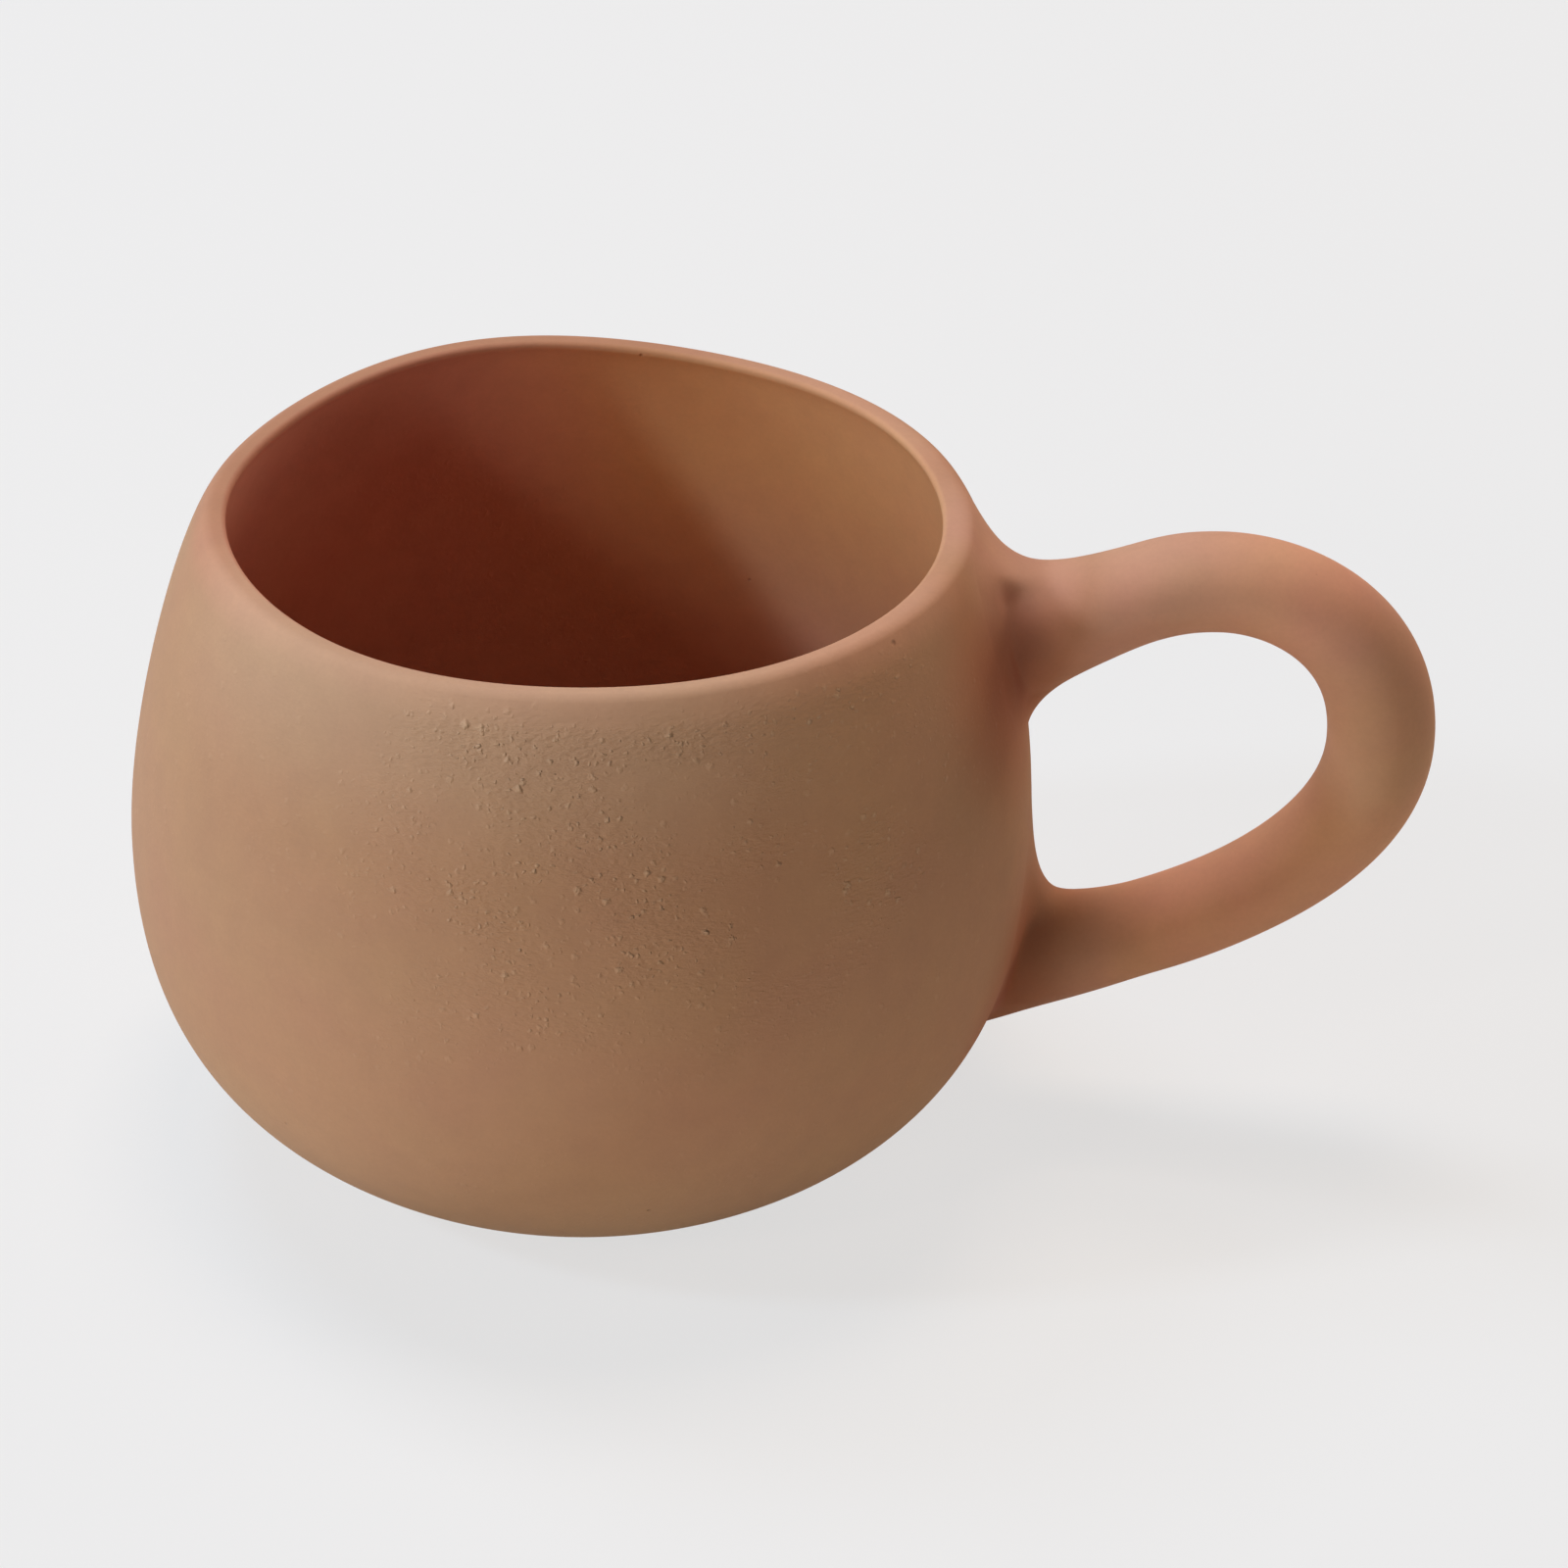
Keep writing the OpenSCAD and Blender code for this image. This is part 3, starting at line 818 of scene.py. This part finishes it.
def grit(n, p):
    """How much grit stands up: most on the front, in patches, and least where it was wiped."""
    smoothed = n.largest(p.on_handle, p.near_lip, n.times(p.bowl, SMOOTHED_IN_BOWL))
    rough = n.rest(n.times(smoothed, SMOOTHED_SHARE))
    turn = n.ramp(n.towards(p.at, GRITTY_WAY, p.from_axis), *GRITTY_TURN)
    front = n.times(turn, n.ramp(p.height, *GRITTY_HEIGHT))
    edge = n.times(n.ramp(p.height, *EDGE_START_HEIGHT), n.ramp(p.height, *EDGE_END_HEIGHT))
    patches = n.ramp(n.noise(p.at, *GRIT_NOISE), *GRIT_PATCHES)
    patches = n.largest(patches, n.times(edge, turn), n.near(p.at, *SCRATCH))
    return n.times(rough, n.times(patches, n.more(front, GRIT_BY_FRONT, GRIT_LEAST)))


def spots(n, at, size, radius, kept):
    """Scattered round spots: 1 at the middle of each to 0 at its edge, one in each cell kept."""
    inputs = {"Vector": at, "Scale": 1.0 / size, "Randomness": 1.0}
    cells = n.add("TexVoronoi", inputs, feature="F1")
    pick = n.add("SeparateColor", {"Color": cells.outputs["Color"]})
    reach = n.more(pick.outputs[1], SPOT_MORE * radius / size, SPOT_LEAST * radius / size)
    share = n.math("DIVIDE", cells.outputs["Distance"], reach)
    chosen = n.math("LESS_THAN", pick.outputs[0], kept)
    return n.times(n.ramp(share, SPOT_TOP, 1.0, 1.0, 0.0), chosen)


def clay(name):
    """Matte clay: mottled, with grains that stand up, small pits, and the marks of a wet hand."""
    mat = bpy.data.materials.new(name)
    n = Nodes(mat)
    p = places(n)
    middle = n.noise(p.at, *MIDDLE_NOISE)
    fine = n.noise(p.at, *FINE_NOISE)
    tone = n.blend(p.bowl, wall_tone(n, p), bowl_tone(n, p))
    # Painted shade in the folds, the hollow and the dimple
    tone = n.blend(fold_shade(n, p), tone, CREASE_SHADE_CLAY)
    tone = mottle(n, p, tone, middle, fine)

    gritty = grit(n, p)
    stirred = n.vector("MULTIPLY_ADD", n.noise(p.at, *STIR_NOISE, output="Color"), STIR, p.at)
    grains = spots(n, stirred, *GRAINS)
    small_grains = spots(n, stirred, *SMALL_GRAINS)
    pits = n.largest(n.times(spots(n, p.at, *PITS), PITS_SHARE), n.near(p.at, *PINHOLE))
    speckle = n.times(n.largest(grains, n.times(small_grains, SMALL_GRAIN_SHARE)), gritty)
    tone = n.blend(n.times(speckle, GRAIN_SHADE), tone, GRAIN_CLAY)
    tone = n.blend(n.times(pits, PIT_SHADE), tone, PIT_CLAY)

    strokes = n.noise(n.vector("MULTIPLY", p.at, STROKE_STRETCH), *STROKE_NOISE)
    sand = n.noise(n.vector("MULTIPLY", p.at, SAND_STRETCH), *SAND_NOISE)
    lumps = n.noise(p.at, *LUMP_NOISE)
    relief = n.times(grains, n.times(gritty, GRAIN_HEIGHT))
    relief = n.more(small_grains, n.times(gritty, SMALL_GRAIN_HEIGHT), relief)
    relief = n.more(p.dimple, -DIMPLE_DEPTH, relief)
    relief = n.more(pits, -PIT_DEPTH, relief)
    relief = n.more(sand, n.times(gritty, SAND_GRITTY), relief)
    relief = n.more(fine, n.more(gritty, FINE_GRITTY, FINE_HEIGHT), relief)
    relief = n.more(lumps, n.more(gritty, LUMP_GRITTY, LUMP_HEIGHT), relief)
    relief = n.more(strokes, STROKE_HEIGHT, relief)
    bump = n.add("Bump", {"Strength": 1.0, "Distance": MM, "Height": relief}).outputs[0]
    roughness = n.more(middle, ROUGHNESS_MORE, ROUGHNESS)
    shader = n.add("BsdfPrincipled", {"Base Color": tone, "Roughness": roughness, "Normal": bump})
    shader.inputs["Specular IOR Level"].default_value = SPECULAR_LEVEL
    n.show(shader.outputs[0])
    return mat


body.data.materials.append(clay("body_clay"))
handle.data.materials.append(clay("handle_clay"))
collar_clay = clay("collar_clay")
for piece in (upper_collar, lower_collar):
    piece.data.materials.append(collar_clay)
slip_clay = clay("slip_clay")
for name in ("upper_slip", "lower_slip"):
    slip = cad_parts[name]
    slip.data.materials.clear()
    slip.data.materials.append(slip_clay)


# The floor. What the camera sees of it glows, so that it is pale without more light on the mug
FLOOR_SIZE = 6.0
FLOOR_Z = -0.0002
FLOOR_GLOW = colour(236, 236, 236)
FLOOR_GLOW_STRENGTH = 0.80
FLOOR_SEEN = colour(120, 120, 120)
FLOOR_UNSEEN = colour(225, 222, 216)


def floor_material():
    mat = bpy.data.materials.new("floor")
    n = Nodes(mat)
    ray = n.add("LightPath").outputs
    seen = n.math("ADD", ray["Is Camera Ray"], ray["Is Glossy Ray"])
    seen = n.math("ADD", seen, ray["Is Transmission Ray"], clamp=True)
    glow = n.add("Emission", {"Color": FLOOR_GLOW, "Strength": FLOOR_GLOW_STRENGTH}).outputs[0]
    matte = n.add("BsdfDiffuse", {"Color": FLOOR_SEEN}).outputs[0]
    shown = n.add("AddShader", {0: glow, 1: matte}).outputs[0]
    unseen = n.add("BsdfDiffuse", {"Color": FLOOR_UNSEEN}).outputs[0]
    n.show(n.add("MixShader", {0: seen, 1: unseen, 2: shown}).outputs[0])
    return mat


def make_floor():
    mesh = bpy.data.meshes.new("floor")
    h = FLOOR_SIZE / 2
    corners = [(x, y, FLOOR_Z) for x, y in ((-h, -h), (h, -h), (h, h), (-h, h))]
    mesh.from_pydata(corners, [], [(0, 1, 2, 3)])
    obj = bpy.data.objects.new("floor", mesh)
    bpy.context.scene.collection.objects.link(obj)
    obj.data.materials.append(floor_material())
    return obj


floor = make_floor()


# Camera and lamps. The camera was fitted to the photograph, in millimetres: AIM shows at AIM_PIXEL
CAMERA_TILT = math.radians(31.25)
CAMERA_ROLL = math.radians(-1.63)
CAMERA_DISTANCE = 600.0
CAMERA_CLIP = (0.05, 20)
PIXELS_PER_MM = 9.562
IMAGE_SIZE = 1600
AIM = np.array([0.0, 0.0, 38.0])
AIM_PIXEL = (595.1, 805.3)
SENSOR_MM = 36.0

LAMP_DISTANCE = 1.5
LAMP_AIM = Vector((0, 0, 0.04))
# Each lamp's azimuth and elevation in degrees, side in metres, power in watts, and tint
LAMPS = {
    "key": (197, 34, 0.16, 6.6, (0.8, 1.0, 1.2)),
    "left": (180, 12, 0.5, 3.7, (0.8, 1.0, 1.25)),
    "front_left": (240, 12, 0.5, 3.3, (1.15, 1.0, 0.8)),
    "high_left": (227, 28, 0.18, 1.7, (1.25, 1.0, 0.85)),
    "back_left": (135, 58, 0.5, 6.8, (0.8, 1.0, 1.25)),
    "top": (90, 78, 0.5, 7.4, (1.25, 1.0, 0.8)),
    "low_right": (25, 12, 0.5, 3.2, (1.25, 1.0, 0.8)),
    "back_right": (45, 22, 0.3, 1.8, (1.25, 1.0, 0.8)),
    "right": (5, 22, 0.3, 0.7, (1.25, 1.0, 0.8)),
}
WORLD_COLOUR = (1.0, 0.9, 0.8, 1)
WORLD_STRENGTH = 0.01


def make_camera():
    forward = np.array([0, math.cos(CAMERA_TILT), -math.sin(CAMERA_TILT)])
    across = np.array([1.0, 0, 0])
    up = np.cross(across, forward)
    right = across * math.cos(CAMERA_ROLL) - up * math.sin(CAMERA_ROLL)
    top = across * math.sin(CAMERA_ROLL) + up * math.cos(CAMERA_ROLL)
    dx = (AIM_PIXEL[0] - IMAGE_SIZE / 2) / PIXELS_PER_MM
    dy = -(AIM_PIXEL[1] - IMAGE_SIZE / 2) / PIXELS_PER_MM
    place = (AIM - forward * CAMERA_DISTANCE - right * dx - top * dy) * MM
    data = bpy.data.cameras.new("camera")
    data.sensor_width = SENSOR_MM
    data.lens = PIXELS_PER_MM * CAMERA_DISTANCE * SENSOR_MM / IMAGE_SIZE
    data.clip_start, data.clip_end = CAMERA_CLIP
    obj = bpy.data.objects.new("camera", data)
    bpy.context.scene.collection.objects.link(obj)
    turn = Matrix([list(row) for row in np.stack([right, top, -forward], 1)])
    obj.matrix_world = Matrix.Translation(Vector(place.tolist())) @ turn.to_4x4()
    bpy.context.scene.camera = obj


def make_lamp(name, azimuth, elevation, size, power, tint):
    """A soft square lamp that faces the mug."""
    a, e = math.radians(azimuth), math.radians(elevation)
    way = Vector((math.cos(e) * math.cos(a), math.cos(e) * math.sin(a), math.sin(e)))
    data = bpy.data.lights.new(name, "AREA")
    data.size = size
    data.energy = power
    data.color = tint
    obj = bpy.data.objects.new(name, data)
    bpy.context.scene.collection.objects.link(obj)
    obj.location = way * LAMP_DISTANCE + LAMP_AIM
    obj.rotation_euler = way.to_track_quat("Z", "Y").to_euler()


def make_world():
    world = bpy.data.worlds.new("world")
    bpy.context.scene.world = world
    world.use_nodes = True
    background = world.node_tree.nodes["Background"]
    background.inputs["Color"].default_value = WORLD_COLOUR
    background.inputs["Strength"].default_value = WORLD_STRENGTH


make_camera()
for name, lamp in LAMPS.items():
    make_lamp(name, *lamp)
make_world()
bpy.context.scene.view_settings.view_transform = "Standard"
